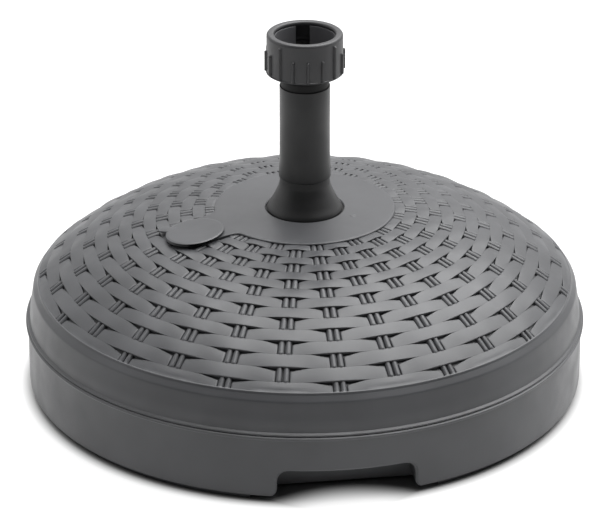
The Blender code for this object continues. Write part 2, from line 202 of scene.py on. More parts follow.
def rounded(corners, steps=4):
    """A closed outline from corners (radius, height, fillet): a fillet replaces its corner with a curve."""
    outline = []
    for index, (radius, height, fillet) in enumerate(corners):
        corner = Vector((radius, height))
        if not fillet:
            outline.append(tuple(corner))
            continue
        before = Vector(corners[index - 1][:2]) - corner
        after = Vector(corners[(index + 1) % len(corners)][:2]) - corner
        reach = min(fillet, before.length * 0.45, after.length * 0.45)
        start = corner + before.normalized() * reach
        end = corner + after.normalized() * reach
        for step in range(steps + 1):
            t = step / steps
            outline.append(tuple(start * (1 - t) ** 2 + corner * 2 * t * (1 - t) + end * t**2))
    return outline


def mesh_object(name, vertices, faces):
    """A piece from vertices in millimetres."""
    mesh = bpy.data.meshes.new(name)
    mesh.from_pydata((np.asarray(vertices) * MM).tolist(), [], faces)
    piece = bpy.data.objects.new(name, mesh)
    bpy.context.scene.collection.objects.link(piece)
    return piece


def loop_faces(rings, per_ring, offset=0, close=True):
    """Quads between neighbouring rings of points, each ring a closed loop."""
    faces = []
    last = rings if close else rings - 1
    for ring in range(last):
        here = offset + ring * per_ring
        there = offset + (ring + 1) % rings * per_ring
        for point in range(per_ring):
            after = (point + 1) % per_ring
            faces.append((here + point, here + after, there + after, there + point))
    return faces


def turned(name, outline, segments, shape=None):
    """Turns a closed outline about the vertical axis. It runs clockwise: outward, down outside, back in.
    shape(azimuth, radius, height) may return other radii and heights for the points."""
    radius = np.array([point[0] for point in outline])[None, :]
    height = np.array([point[1] for point in outline])[None, :]
    azimuth = (np.arange(segments) * 2.0 * math.pi / segments)[:, None]
    radius, height, azimuth = np.broadcast_arrays(radius, height, azimuth)
    if shape:
        radius, height = shape(azimuth, radius, height)
    points = np.stack([radius * np.sin(azimuth), -radius * np.cos(azimuth), height], axis=-1)
    piece = mesh_object(name, points.reshape(-1, 3), loop_faces(segments, len(outline)))
    if min(point[0] for point in outline) < 0.01:
        weld(piece)
    return piece


def weld(piece):
    work = bmesh.new()
    work.from_mesh(piece.data)
    bmesh.ops.remove_doubles(work, verts=work.verts, dist=0.00002)
    bmesh.ops.dissolve_degenerate(work, edges=work.edges, dist=0.000001)
    loose = [edge for edge in work.edges if not edge.link_faces]
    bmesh.ops.delete(work, geom=loose, context="EDGES")
    work.to_mesh(piece.data)
    work.free()


def face_outward(piece):
    work = bmesh.new()
    work.from_mesh(piece.data)
    bmesh.ops.recalc_face_normals(work, faces=work.faces)
    if work.calc_volume(signed=True) < 0.0:
        bmesh.ops.reverse_faces(work, faces=work.faces)
    work.to_mesh(piece.data)
    work.free()


def shade(piece, angle=38.0):
    piece.data.shade_smooth()
    piece.data.set_sharp_from_angle(angle=math.radians(angle))


def combine(piece, tool, operation):
    """Applies a Boolean and removes the tool."""
    boolean = piece.modifiers.new("combine", "BOOLEAN")
    boolean.operation = operation
    boolean.object = tool
    boolean.solver = "EXACT"
    bpy.context.view_layer.update()
    evaluated = piece.evaluated_get(bpy.context.evaluated_depsgraph_get())
    mesh = bpy.data.meshes.new_from_object(evaluated)
    piece.modifiers.clear()
    piece.data = mesh
    bpy.data.objects.remove(tool, do_unlink=True)


def block(name, size, matrix, bevel, segments=3):
    """A box with every edge rounded, used to cut or to join."""
    mesh = bpy.data.meshes.new(name)
    work = bmesh.new()
    bmesh.ops.create_cube(work, size=1.0)
    bmesh.ops.scale(work, vec=Vector(size) * MM, verts=work.verts)
    if bevel:
        bmesh.ops.bevel(
            work, geom=list(work.edges), offset=bevel * MM, segments=segments, affect="EDGES", profile=0.5,
        )
    work.to_mesh(mesh)
    work.free()
    made = bpy.data.objects.new(name, mesh)
    bpy.context.scene.collection.objects.link(made)
    made.matrix_world = matrix
    return made


def join(piece, others):
    """Adds other closed meshes to a piece as they stand."""
    work = bmesh.new()
    work.from_mesh(piece.data)
    for other in others:
        other.data.transform(other.matrix_world)
        work.from_mesh(other.data)
        bpy.data.objects.remove(other, do_unlink=True)
    work.to_mesh(piece.data)
    work.free()


def settle(piece, body, material, nodes=(), angle=38.0):
    """Finishes a piece: its shading and material, the body it rides on and the nodes it stands for."""
    shade(piece, angle)
    piece.data.materials.clear()
    piece.data.materials.append(material)
    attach(piece, body)
    if nodes:
        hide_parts(*nodes)
    return piece


# ---------------------------------------------------------------- node helpers

def remapped(tree, value, low, high, out_low, out_high, smooth=False):
    """A value mapped from one range to another and held to it."""
    remap = tree.nodes.new("ShaderNodeMapRange")
    remap.interpolation_type = "SMOOTHSTEP" if smooth else "LINEAR"
    for socket, number in (("From Min", low), ("From Max", high), ("To Min", out_low), ("To Max", out_high)):
        remap.inputs[socket].default_value = number
    tree.links.new(value, remap.inputs["Value"])
    return remap.outputs["Result"]


def computed(tree, operation, first, second):
    """The result of a Math node with two inputs."""
    node = tree.nodes.new("ShaderNodeMath")
    node.operation = operation
    tree.links.new(first, node.inputs[0])
    tree.links.new(second, node.inputs[1])
    return node.outputs["Value"]


# ---------------------------------------------------------------- materials

def moulded_plastic(name, colour, roughness, grain=0.12, tint=0.10, wear_and_highlight=0.25, specular=0.5):
    """Moulded plastic: fine spark grain, faint flow clouding, edges lightened partly as scuffs and partly as a
    painted highlight, and uneven gloss.
    """
    material = bpy.data.materials.new(name)
    material.use_nodes = True
    tree = material.node_tree
    nodes, links = tree.nodes, tree.links
    shader = nodes["Principled BSDF"]
    shader.inputs["Specular IOR Level"].default_value = specular
    place = nodes.new("ShaderNodeTexCoord").outputs["Object"]

    def noise(scale, detail):
        texture = nodes.new("ShaderNodeTexNoise")
        texture.inputs["Scale"].default_value = scale
        texture.inputs["Detail"].default_value = detail
        links.new(place, texture.inputs["Vector"])
        return texture.outputs["Fac"]

    def mix(share, first, second):
        blend = nodes.new("ShaderNodeMix")
        blend.data_type = "RGBA"
        links.new(share, blend.inputs["Factor"])
        for socket, value in (("A", first), ("B", second)):
            target = next(s for s in blend.inputs if s.name == socket and s.type == "RGBA")
            if isinstance(value, tuple):
                target.default_value = (*value, 1.0)
            else:
                links.new(value, target)
        return next(s for s in blend.outputs if s.type == "RGBA")

    darker = tuple(c * (1.0 - tint) for c in colour)
    lighter = tuple(c * (1.0 + tint) for c in colour)
    # Edges lightened by pointiness: partly scuffs, partly a painted highlight along the edges.
    rubbed_and_highlit_colour = tuple(min(1.0, c * 1.6 + 0.02) for c in colour)
    clouds = mix(remapped(tree, noise(14.0, 3.0), 0.35, 0.65, 0.0, 1.0), darker, lighter)
    specks = mix(remapped(tree, noise(900.0, 2.0), 0.62, 0.78, 0.0, 0.5), clouds, lighter)
    edge = nodes.new("ShaderNodeNewGeometry").outputs["Pointiness"]
    edge_wear_and_highlight = remapped(tree, edge, 0.52, 0.60, 0.0, wear_and_highlight)
    patches = remapped(tree, noise(60.0, 4.0), 0.35, 0.60, 0.3, 1.0)
    edge_wear_and_highlight_patchy = computed(tree, "MULTIPLY", edge_wear_and_highlight, patches)
    links.new(mix(edge_wear_and_highlight_patchy, specks, rubbed_and_highlit_colour), shader.inputs["Base Color"])
    gloss = remapped(tree, noise(40.0, 4.0), 0.3, 0.7, roughness - 0.05, roughness + 0.06)
    links.new(gloss, shader.inputs["Roughness"])
    bump = nodes.new("ShaderNodeBump")
    bump.inputs["Strength"].default_value = grain
    bump.inputs["Distance"].default_value = 0.0004
    links.new(noise(1400.0, 3.0), bump.inputs["Height"])
    links.new(bump.outputs["Normal"], shader.inputs["Normal"])
    return material


# ---------------------------------------------------------------- tank

def hold_outline(spread):
    """Outline of a hand hold as (across, height) points, grown by a spread: round upper corners, and a
    shallow cut that runs out to each side along the ground."""
    half, top, corner = HOLD_WIDTH / 2.0 + spread, HOLD_HEIGHT + spread, HOLD_CORNER + spread
    wide = half + HOLD_SPLAY
    right = [
        (wide, -30.0, 0.0), (wide, HOLD_FOOT, 0.0), (half, HOLD_FOOT, HOLD_FOOT_ROUND),
        (half, top, corner * 1.3),
    ]
    corners = right + [(-across, height, fillet) for across, height, fillet in reversed(right)]
    dense = []
    outline = rounded(corners, 10)
    for first, second in zip(outline, outline[1:] + outline[:1]):
        steps = max(1, int(math.dist(first, second) / 8.0))
        for step in range(steps):
            t = step / steps
            dense.append((first[0] + (second[0] - first[0]) * t, first[1] + (second[1] - first[1]) * t))
    return dense


def hold_cutter(azimuth):
    """The hollow of a hand hold. Its mouth flares to round the edge on the tank's curved face."""
    layers = [(HOLD_BACK, 0.0, True), (TANK_RADIUS - 12.0, 0.0, False)]
    for angle in np.radians([0.0, 20.0, 40.0, 60.0, 78.0]):
        distance = TANK_RADIUS - HOLD_EDGE_ROUND * (1.0 - math.sin(angle))
        layers.append((distance, HOLD_EDGE_ROUND * (1.0 - math.cos(angle)), False))
    layers.append((TANK_RADIUS + 30.0, layers[-1][1] + 14.0, True))
    vertices = []
    base = hold_outline(0.0)
    for distance, spread, flat in layers:
        for across, height in base:
            x = across * (1.0 + spread / (HOLD_WIDTH / 2.0))
            z = height if height < 0.0 else height * (1.0 + spread / HOLD_HEIGHT)
            y = distance if flat else math.sqrt(distance**2 - x**2)
            vertices.append((x, -y, z))
    faces = loop_faces(len(layers), len(base), close=False)
    faces.append(tuple(range(len(base)))[::-1])
    last = (len(layers) - 1) * len(base)
    faces.append(tuple(range(last, last + len(base))))
    cutter = mesh_object("hold_cutter", vertices, faces)
    face_outward(cutter)
    cutter.matrix_world = Matrix.Rotation(math.radians(azimuth), 4, "Z")
    return cutter


def make_tank(material):
    """Tank with a bead under the seam, a rounded foot, a standing ring, the well and two hand holds."""
    inner = TANK_RADIUS - WALL
    outline = rounded([
        # the lip, the bead under the seam and the outer wall
        (LIP_RADIUS, LIP_TOP, 0.8), (LIP_RADIUS + 2.2, LIP_TOP, 0.8), (LIP_RADIUS + 2.2, LID_BOTTOM - 0.4, 0.0),
        (LID_RADIUS - 1.4, LID_BOTTOM - 0.5, 0.2), (LID_RADIUS + 0.5, LID_BOTTOM - 1.6, 0.4),
        (LID_RADIUS + 0.4, LID_BOTTOM - 3.2, 0.9), (TANK_RADIUS + 0.4, LID_BOTTOM - 4.2, 0.8),
        (TANK_RADIUS + 0.6, 30.0, 8.0), (TANK_RADIUS + 0.5, 10.0, 5.0),
        # the wall's foot, set back to the standing ring
        (TANK_RADIUS, 5.8, 1.6), (TANK_RADIUS - 4.5, 5.3, 1.0), (TANK_RADIUS - 6.0, 0.0, 0.5),
        (STANDING_INNER, 0.0, 1.0), (STANDING_INNER - 3.0, TANK_FLOOR, 1.0),
        # the recess round the lock nut and the well tube
        (53.0, TANK_FLOOR, 2.0), (50.0, 24.5, 2.0), (WELL_RADIUS, 24.5, 1.0),
        (WELL_RADIUS, WELL_TOP, 1.0), (WELL_RADIUS + 3.0, WELL_TOP, 1.0), (WELL_RADIUS + 3.0, 27.7, 2.0),
        (52.5, 27.7, 2.0), (56.0, 6.8, 2.0),
        # the floor and the wall from inside
        (inner - 6.0, 6.8, 3.0), (inner, 12.8, 3.0), (inner, 58.0, 2.0), (LIP_RADIUS, 62.6, 2.0),
    ])
    tank = turned("tank", outline, 288)
    for azimuth in (0.0, 180.0):
        turn = Matrix.Rotation(math.radians(azimuth), 4, "Z")
        walls = block(
            "hold_walls", (HOLD_WIDTH + 6.0, 34.0, HOLD_HEIGHT + 3.0 - 4.0),
            turn @ Matrix.Translation(Vector((0.0, -(HOLD_BACK - 3.0 + 17.0), 4.0 + 14.5)) * MM), 0.0,
        )
        trim = turned("trim", [(0.0, 60.0), (inner + 1.0, 60.0), (inner + 1.0, -5.0), (0.0, -5.0)], 144)
        combine(walls, trim, "INTERSECT")
        combine(tank, walls, "UNION")
        combine(tank, hold_cutter(azimuth), "DIFFERENCE")
    return settle(tank, "base", material, ["tank_shell"], 32.0)


# ---------------------------------------------------------------- lid

def cap_frame():
    """The filler neck's own frame: its origin on the dome, +Z square to the dome and +X outward."""
    outward = direction(CAP_AZIMUTH)
    tilt = math.atan(dome_slope(CAP_DISTANCE))
    normal = (outward * math.sin(tilt) + Vector((0.0, 0.0, math.cos(tilt)))).normalized()
    across = normal.cross(outward).normalized()
    centre = outward * CAP_DISTANCE + Vector((0.0, 0.0, dome(CAP_DISTANCE)))
    rotation = Matrix((across.cross(normal), across, normal)).transposed().to_4x4()
    return Matrix.Translation(centre * MM) @ rotation


def neck_tool(name, radius, bottom, top):
    tool = turned(name, [(0.0, top), (radius, top), (radius, bottom), (0.0, bottom)], 96)
    tool.matrix_world = CAP_FRAME
    return tool


def make_lid(material):
    """Lid with a convex skirt, a soft shoulder, a groove at the weave's edge and the sunk weave floor."""
    seat = PLATE_HOLE + 0.3
    corners = [
        (26.3, SEAT_HEIGHT, 0.0), (seat, SEAT_HEIGHT, 0.0), (seat, dome(seat), 0.5),
        *dome_run(50.0, 76.0, 4, 0.0), (79.4, dome(79.4), 0.5), (79.8, dome(79.8) + WEAVE_FLOOR, 0.3),
        *dome_run(88.0, 228.0, 26, WEAVE_FLOOR),
        (RIM_LAND - 0.4, dome(RIM_LAND) + WEAVE_FLOOR, 0.4),
        (RIM_LAND, dome(RIM_LAND) + 0.5, 0.4), (RIM_LAND + 1.3, dome(RIM_LAND) + 0.3, 0.7),
        (RIM_LAND + 2.0, dome(RIM_LAND) - 1.7, 0.3), (243.1, 92.9, 1.3),
        (LID_RADIUS - 5.6, 84.0, 5.0), (LID_RADIUS - 3.9, 75.0, 5.0), (LID_RADIUS - 3.1, LID_BOTTOM + 2.6, 0.1),
        (LID_RADIUS - 0.9, LID_BOTTOM + 1.3, 0.3), (LID_RADIUS - 0.8, LID_BOTTOM, 0.5),
        (LID_RADIUS - 5.4, LID_BOTTOM, 0.4), (LID_RADIUS - 8.0, 80.0, 3.0), (LID_RADIUS - 9.6, 89.6, 3.0),
        (235.0, 91.0, 2.0), *dome_run(226.0, 40.0, 12, WEAVE_FLOOR - 2.4),
        (32.3, SEAT_HEIGHT - 6.0, 0.0), (32.3, 130.0, 0.8), (29.3, 130.0, 0.8),
        (29.3, SEAT_HEIGHT - 3.2, 0.0), (26.3, SEAT_HEIGHT - 3.2, 0.0),
    ]
    lid = turned("lid", rounded(corners), 288)
    combine(lid, neck_tool("neck", NECK_RADIUS + NECK_WALL, -20.0, 0.2), "UNION")
    combine(lid, neck_tool("neck_bore", NECK_RADIUS, -30.0, 12.0), "DIFFERENCE")
    return settle(lid, "base", material, ["top_shell"], 34.0)


# ---------------------------------------------------------------- weave

def plate_radius(azimuth):
    """The centre plate's outline: a disc and a lug under the filler cap, with hollow fillets between."""
    lug_centre = direction(CAP_AZIMUTH) * CAP_DISTANCE - direction(CAP_AZIMUTH + 90.0) * LUG_OFFSET
    lug_azimuth = math.atan2(lug_centre.x, -lug_centre.y)
    away = azimuth - lug_azimuth
    sideways = np.abs(np.sin(away)) * lug_centre.length
    inside = sideways < LUG_RADIUS
    reach = np.sqrt(np.maximum(LUG_RADIUS**2 - sideways**2, 0.0)) + np.cos(away) * lug_centre.length
    lug = np.where(inside, reach, LUG_RADIUS / np.maximum(np.abs(np.sin(away)), 0.05))
    fillet = 4.0
    joined = PLATE_RADIUS + fillet * np.log1p(np.exp((lug - PLATE_RADIUS) / fillet))
    return np.where(np.cos(away) <= 0.0, PLATE_RADIUS, joined)


def on_dome(azimuth, radius, lift):
    """Points a lift above the dome, square to it. They stop just inside the centre plate's outline and are
    pressed down under its edge."""
    outline = plate_radius(azimuth)
    radius = np.maximum(radius, outline - 1.5)
    covered = radius < outline - 0.4
    lift = np.where(covered, np.minimum(lift, 0.0), lift)
    tilt = np.arctan(dome_slope(radius))
    out = radius + lift * np.sin(tilt)
    height = dome(radius) + lift * np.cos(tilt)
    return np.stack([out * np.sin(azimuth), -out * np.cos(azimuth), height], axis=-1)


def ring_middle(ring):
    return FIRST_SEAM + RING_PITCH * (0.5 - (ring - 1))


def pair_angle(ring, span):
    phase = PAIR_AZIMUTH + (0.0 if ring % 2 else 180.0 / SPANS)
    return math.radians(phase + span * 360.0 / SPANS)


def hidden(azimuth, radius):
    """Whether the points all lie under the centre plate or in the filler neck."""
    return bool(np.all(radius < plate_radius(azimuth) - 1.0))


def strand_points(ring, span):
    """One flat strand. Its outer edge stands proud over the middle of its span, like a shingle's, and its
    inner edge draws back towards the blunt ends before each pair."""
    middle = ring_middle(ring)
    half_span = middle * math.pi / SPANS
    half_length = half_span - 5.9 + 0.4 * smoothstep(9.0, 15.0, ring)
    end_round, side_round = 1.4, 1.3
    body = np.linspace(-1.0, 1.0, 13) * (half_length - 3.0)
    tips = np.array([0.0, 0.1, 0.3, 0.65, 1.1, 1.8])
    along = np.concatenate([-half_length + tips, body, (half_length - tips)[::-1]])
    from_tip = half_length - np.abs(along)
    share = np.abs(along) / half_span

    corner = np.clip(side_round - from_tip, 0.0, side_round)
    corner = (side_round - np.sqrt(side_round**2 - corner**2)) * 0.7
    dip = np.clip(end_round - from_tip, 0.0, end_round)
    dip = (end_round - np.sqrt(end_round**2 - dip**2)) * 0.9
    outer_edge = RING_PITCH * 0.5 - corner
    inner_edge = -RING_PITCH * 0.5 + 2.6 * smoothstep(0.45, 0.97, share) + corner
    outer_lift = 0.30 + 1.6 * (1.0 - smoothstep(0.0, 0.64, share)) - dip
    inner_lift = 0.30 - 0.95 * smoothstep(0.45, 1.0, share) - dip

    # the section: each edge has its own rounding, which fades out where neighbours meet flush
    from_edge = np.array([0.0, 0.05, 0.2, 0.5, 1.0, 1.6])
    inner_round = (0.05 + 0.40 * smoothstep(0.5, 0.8, share))[:, None]
    outer_round = (0.05 + 0.50 * (1.0 - smoothstep(0.2, 0.6, share)))[:, None]
    inside = np.linspace(0.25, 0.75, 3)[None, :] * (outer_edge - inner_edge)[:, None] + inner_edge[:, None]
    place = np.concatenate([
        inner_edge[:, None] + from_edge[None, :] * inner_round, inside,
        outer_edge[:, None] - from_edge[None, ::-1] * outer_round,
    ], axis=1)
    part = (place - inner_edge[:, None]) / (outer_edge - inner_edge)[:, None]
    into_inner = np.clip(1.0 - (place - inner_edge[:, None]) / inner_round, 0.0, 1.0)
    into_outer = np.clip(1.0 - (outer_edge[:, None] - place) / outer_round, 0.0, 1.0)
    drop = inner_round * (1.0 - np.sqrt(1.0 - into_inner**2))
    drop = drop + outer_round * (1.0 - np.sqrt(1.0 - into_outer**2))
    radius = middle + place
    lift = inner_lift[:, None] + (outer_lift - inner_lift)[:, None] * part + 0.8 * part * (1.0 - part) - drop
    foot_radius = middle + np.stack([outer_edge, inner_edge], axis=1)
    foot_lift = np.full_like(foot_radius, WEAVE_FLOOR - 0.6)
    radius = np.concatenate([radius, foot_radius], axis=1)
    lift = np.concatenate([lift, foot_lift], axis=1)
    radius = np.minimum(radius, RIM_LAND + 0.2)
    lift = np.minimum(lift, 0.45 + np.maximum(RIM_LAND - radius, 0.0) * 0.5)
    azimuth = pair_angle(ring, span + 0.5) + (along / middle)[:, None] + np.zeros_like(radius)
    return azimuth, radius, lift


def rod_points(ring, span, side):
    """One rod of a pair: round, proud of the strand ends, its outer end bent under the next strand."""
    middle = ring_middle(ring)
    spacing = 6.0 - 0.6 * smoothstep(8.0, 15.0, ring)
    thick = 2.85 - 0.25 * smoothstep(8.0, 15.0, ring)
    reach = RING_PITCH * 0.62
    along = np.array([-1.0, -0.93, -0.86, -0.76, -0.62, -0.3, 0.15, 0.6, 0.8, 0.92, 1.0]) * reach
    share = np.abs(along) / reach
    core = -1.95 - 1.6 * smoothstep(0.86, 1.0, share)
    size = thick * np.sqrt(np.maximum(1.0 - (np.clip(share - 0.8, 0.0, 0.2) / 0.2) ** 2 * 0.85, 0.02))
    turn = np.arange(10) * 2.0 * math.pi / 10
    radius = middle + along[:, None] + np.zeros_like(turn)[None, :]
    sideways = side * spacing / 2.0 + size[:, None] * np.cos(turn)[None, :]
    lift = core[:, None] + size[:, None] * np.sin(turn)[None, :]
    radius = np.minimum(radius, RIM_LAND + 0.2)
    azimuth = pair_angle(ring, span) + sideways / middle
    return azimuth, radius, lift


def gather(name, grids):
    """One mesh of many closed lofts: each grid is rings of points, with a face at each end."""
    vertices, faces, offset = [], [], 0
    for azimuth, radius, lift in grids:
        rings, per_ring = radius.shape
        vertices.append(on_dome(azimuth, radius, lift).reshape(-1, 3))
        faces += loop_faces(rings, per_ring, offset, close=False)
        faces.append(tuple(offset + point for point in range(per_ring))[::-1])
        last = offset + (rings - 1) * per_ring
        faces.append(tuple(last + point for point in range(per_ring)))
        offset += rings * per_ring
    return mesh_object(name, np.concatenate(vertices), faces)


def make_weave(material):
    strands, rods = [], []
    for ring in range(1, RING_COUNT + 1):
        for span in range(SPANS):
            grid = strand_points(ring, span)
            if not hidden(grid[0], grid[1]):
                strands.append(grid)
            for side in (-1.0, 1.0):
                grid = rod_points(ring, span, side)
                if not hidden(grid[0], grid[1]):
                    rods.append(grid)
    for name, grids in (("weave_strands", strands), ("weave_rods", rods)):
        piece = gather(name, grids)
        face_outward(piece)
        settle(piece, "base", material, angle=60.0)


# ---------------------------------------------------------------- centre plate and cap

def seat_rise(azimuth, radius):
    """How far the plate rises or falls around the filler neck to give the cap a level seat."""
    centre = direction(CAP_AZIMUTH) * CAP_DISTANCE
    towards = direction(CAP_LEVEL_AZIMUTH)
    x = radius * np.sin(azimuth) - centre.x
    y = -radius * np.cos(azimuth) - centre.y
    fade = 1.0 - smoothstep(26.0, 50.0, np.hypot(x, y))
    return CAP_LEVEL * (x * towards.x + y * towards.y) * fade


def make_plate(material):
    """A thin plate on the flattened dome with a rounded edge, a lug around the filler neck and a gate mark."""
    azimuth = np.arange(360) * math.pi / 180.0
    outer = plate_radius(azimuth)
    share = np.linspace(0.0, 1.0, 16)
    rows = []
    for part in share:
        rows.append((PLATE_HOLE + 0.8 + (outer - 1.3 - PLATE_HOLE - 0.8) * part, PLATE_TOP))
    for angle in np.radians([22.0, 45.0, 68.0, 90.0]):
        rows.append((outer - 1.3 + 1.3 * np.sin(angle), PLATE_TOP - 1.3 * (1.0 - np.cos(angle))))
    rows.append((outer, 0.35))
    for part in share[::-2]:
        rows.append((PLATE_HOLE + (outer - 1.0 - PLATE_HOLE) * part, 0.3))
    rows.append((np.full_like(outer, PLATE_HOLE), PLATE_TOP - 0.8))
    radius = np.stack([row[0] for row in rows], axis=1)
    height = dome(radius) + np.stack([np.full_like(outer, row[1]) for row in rows], axis=1)
    turn = azimuth[:, None] + np.zeros_like(radius)
    height = height + seat_rise(turn, radius)
    points = np.stack([radius * np.sin(turn), -radius * np.cos(turn), height], axis=-1)
    plate = mesh_object("plate", points.reshape(-1, 3), loop_faces(len(azimuth), len(rows)))
    combine(plate, neck_tool("plate_hole", NECK_RADIUS + NECK_WALL + 0.8, -20.0, 20.0), "DIFFERENCE")
    mark_distance, mark_azimuth = 46.6, 56.8
    mark = turned("gate_mark", [(0.0, 0.42), (0.8, 0.4), (1.6, 0.31), (2.3, 0.17), (3.0, -0.02), (3.0, -0.6),
                                (0.0, -0.6)], 40)
    spot = direction(mark_azimuth) * mark_distance
    mark.matrix_world = Matrix.Translation((spot + Vector((0, 0, dome(mark_distance) + PLATE_TOP))) * MM)
    join(plate, [mark])
    return settle(plate, "base", material, ["centre_plate"], 30.0)


def make_cap(material, seal_material):
    """A thin crowned disc with a rolled rim, a pull tab, a hollow plug and a seal under the rim. The disc is
    level with its seat."""
    rise_angle = math.radians(CAP_LEVEL_AZIMUTH - CAP_AZIMUTH)

    def level(azimuth, radius, height):
        on_disc = (height > CAP_UNDERSIDE - 0.7) & (radius > NECK_RADIUS - 3.0)
        on_disc |= height > CAP_UNDERSIDE + 0.1
        rise = CAP_LEVEL * radius * np.sin(azimuth - rise_angle)
        return radius, np.where(on_disc, height + rise, height)

    top = CAP_UNDERSIDE + CAP_THICKNESS
    plug = NECK_RADIUS - 0.3
    cap = turned("cap", rounded([
        (0.0, top + 0.25, 0.0), (14.0, top + 0.12, 4.0), (CAP_RADIUS - 2.0, top - 0.35, 1.5),
        (CAP_RADIUS - 0.2, top - 0.9, 0.9), (CAP_RADIUS, CAP_UNDERSIDE + 0.5, 0.5),
        (CAP_RADIUS - 0.6, CAP_UNDERSIDE, 0.4), (plug, CAP_UNDERSIDE, 0.6), (plug, -4.0, 0.5),
        (plug - 0.6, -5.0, 0.5), (plug, -6.0, 0.5), (plug, -10.0, 1.0), (plug - 0.8, -12.0, 0.8),
        (plug - 2.2, -12.0, 0.5), (plug - 2.2, 0.6, 1.0), (0.0, 0.6, 0.0),
    ]), 160, level)
    cap.matrix_world = CAP_FRAME
    tab = block(
        "tab", (14.0, 9.0, 1.5),
        CAP_FRAME @ Matrix.Rotation(math.radians(-48.0), 4, "Z")
        @ Matrix.Translation(Vector((CAP_RADIUS, 0.0, CAP_UNDERSIDE + 0.95)) * MM), 0.6,
    )
    combine(cap, tab, "UNION")
    cap.data.transform(cap.matrix_world)
    cap.matrix_world = Matrix.Identity(4)
    settle(cap, "cap", material, ["filler_cap"], 34.0)
    washer = turned("cap_seal", rounded([
        (plug, CAP_UNDERSIDE + 0.05, 0.0), (plug + 3.2, CAP_UNDERSIDE + 0.05, 0.0),
        (plug + 3.2, CAP_UNDERSIDE - 0.65, 0.3), (plug, CAP_UNDERSIDE - 0.65, 0.0),
    ]), 96, level)
    washer.data.transform(CAP_FRAME)
    settle(washer, "cap", seal_material, ["filler_cap_seal"], 34.0)


# ---------------------------------------------------------------- mast and clamp

def make_foot(material):
    """The flared foot: a bell over the plate and a spigot with a thread down to the lock nut."""
    inner = BORE_RADIUS + 0.5
    corners = [
        (SOCKET_RADIUS, BELL_TOP, 0.0), (21.9, BELL_TOP, 0.1), (22.1, BELL_TOP - 1.6, 1.0),
        (22.4, 188.6, 5.0), (24.6, 181.8, 5.0), (29.6, 171.6, 5.0), (BELL_RADIUS - 0.9, 166.8, 2.0),
        (BELL_RADIUS, 164.6, 1.0),
        (BELL_RADIUS, 163.0, 0.5), (25.2, 163.0, 0.3), (25.2, 134.0, 0.6), (24.0, 131.0, 0.6),
    ]
    for turn in range(12):
        height = 34.0 - turn * 2.0
        corners += [(24.0, height, 0.3), (23.2, height - 1.0, 0.3)]
    corners += [
        (24.0, 9.0, 0.5), (23.0, FOOT_BOTTOM, 0.5), (4.0, FOOT_BOTTOM, 0.4), (4.0, 10.0, 0.4),
        (inner, 10.0, 1.0), (inner, PLUG_BOTTOM - 3.0, 0.5), (SOCKET_RADIUS, PLUG_BOTTOM - 0.5, 0.3),
    ]
    foot = turned("foot", rounded(corners), 144)
    return settle(foot, "base", material, ["mast_foot"])


def threaded(low, high, root, crest):
    """A shape that adds a screw thread where a radius lies near the crest, between two heights."""
    def shape(azimuth, radius, height):
        turn = (height / THREAD_PITCH - azimuth / (2.0 * math.pi)) % 1.0
        ridge = smoothstep(0.18, 0.34, turn) * (1.0 - smoothstep(0.66, 0.82, turn))
        fade = smoothstep(low, low + 2.0, height) * (1.0 - smoothstep(high - 2.0, high, height))
        on_land = np.abs(radius - root) < 0.01
        return np.where(on_land, root + (crest - root) * ridge * fade, radius), height
    return shape


def make_tube(material, neck_black_and_shade):
    """The mast tube: a rolled lower end, a recessed neck, and a flared head with its thread."""
    root = HEAD_RADIUS - 0.9
    land = [(root, height, 0.0) for height in np.arange(TUBE_TOP - 1.6, 297.6, -0.4)]
    corners = [
        (HEAD_RADIUS - 2.6, TUBE_TOP, 0.3), (root, TUBE_TOP, 0.4), *land, (root, 296.4, 0.6),
        (21.2, 287.5, 1.5), (21.2, NECKING_TOP, 0.3), (TUBE_RADIUS, NECKING_TOP, 0.5),
        (TUBE_RADIUS, 262.0, 0.0), (TUBE_RADIUS, 240.0, 0.0), (TUBE_RADIUS + 0.1, 215.0, 6.0),
        (TUBE_RADIUS + 0.7, 203.0, 5.0), (TUBE_RADIUS + 0.9, BELL_TOP + 0.3, 0.8),
        (SOCKET_RADIUS - 0.3, BELL_TOP + 0.3, 0.0), (SOCKET_RADIUS - 0.3, PLUG_BOTTOM + 1.0, 0.6),
        (20.8, PLUG_BOTTOM, 0.4), (BORE_RADIUS, PLUG_BOTTOM, 0.4), (BORE_RADIUS, 291.0, 2.0),
        (HEAD_RADIUS - 2.6, 304.0, 0.5),
    ]
    tube = turned("tube", rounded(corners), 144, threaded(298.0, TUBE_TOP - 1.0, root, HEAD_RADIUS))
    settle(tube, "mast", material, ["mast_tube"])
    # The neck and head get a darker, matt material: partly darker plastic, partly painted shade under the nut.
    tube.data.materials.append(neck_black_and_shade)
    for face in tube.data.polygons:
        if face.center.z > (NECKING_TOP - 0.6) * MM:
            face.material_index = 1


def make_split_ring(material):
    """The split clamp ring, with a flange on top and a slot through one side."""
    flange = NUT_CAVITY - 0.8
    ring = turned("split_ring", rounded([
        (26.2, RING_TOP, 0.4), (flange, RING_TOP, 0.5), (flange, RING_TOP - 3.0, 0.4),
        (27.0, RING_TOP - 3.0, 0.5), (27.0, 306.2, 1.0), (21.5, RING_BOTTOM, 0.6), (19.4, RING_BOTTOM, 0.4),
        (19.4, 300.0, 0.8), (25.0, 309.0, 1.5),
    ]), 192)
    reach = NUT_CAVITY + 5.0
    slot = block(
        "ring_slot", (RING_GAP, reach, 60.0),
        Matrix.Rotation(math.radians(RING_GAP_AZIMUTH), 4, "Z")
        @ Matrix.Translation(Vector((0.0, -reach / 2.0, 312.0)) * MM), 0.0,
    )
    combine(ring, slot, "DIFFERENCE")
    return settle(ring, "ring", material, ["clamp_ring"])


